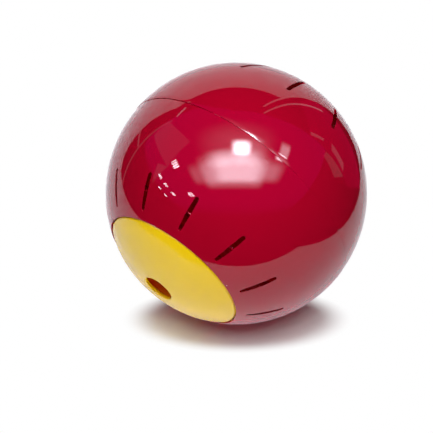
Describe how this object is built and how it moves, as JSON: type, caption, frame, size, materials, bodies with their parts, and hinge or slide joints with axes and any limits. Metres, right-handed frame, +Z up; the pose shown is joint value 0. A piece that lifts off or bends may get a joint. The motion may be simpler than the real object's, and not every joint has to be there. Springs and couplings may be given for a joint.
{
  "type": "treat ball",
  "caption": "Hollow glossy ball of two slotted half shells that twist together, with a flush domed cap whose round hole drops treats as the ball rolls.",
  "frame": {"origin": "the point of the floor under the ball's centre, where the ball touches it", "axes": "+Z up; the ball's own axis lies in the YZ plane, and the cap faces -Y and 20 degrees below level, as the ball lies in the picture"},
  "size_m": [0.125, 0.125, 0.125],
  "materials": {
    "red_plastic": "gloss, moulded",
    "yellow_plastic": "gloss, moulded"
  },
  "bodies": {
    "front_half": {"front_half": "red_plastic"},
    "rear_half": {"rear_half": "red_plastic"},
    "dispenser_cap": {"dispenser_cap": "yellow_plastic"}
  },
  "joints": [
    {"name": "halves_twist", "type": "hinge", "parent": "front_half", "child": "rear_half", "pos_m": [0, 0, 0.0625], "axis": [0, -0.9397, -0.342], "range_deg": [0, 18]},
    {"name": "cap_pull", "type": "slide", "parent": "front_half", "child": "dispenser_cap", "axis": [0, -0.9397, -0.342], "range_m": [0, 0.03]}
  ]
}
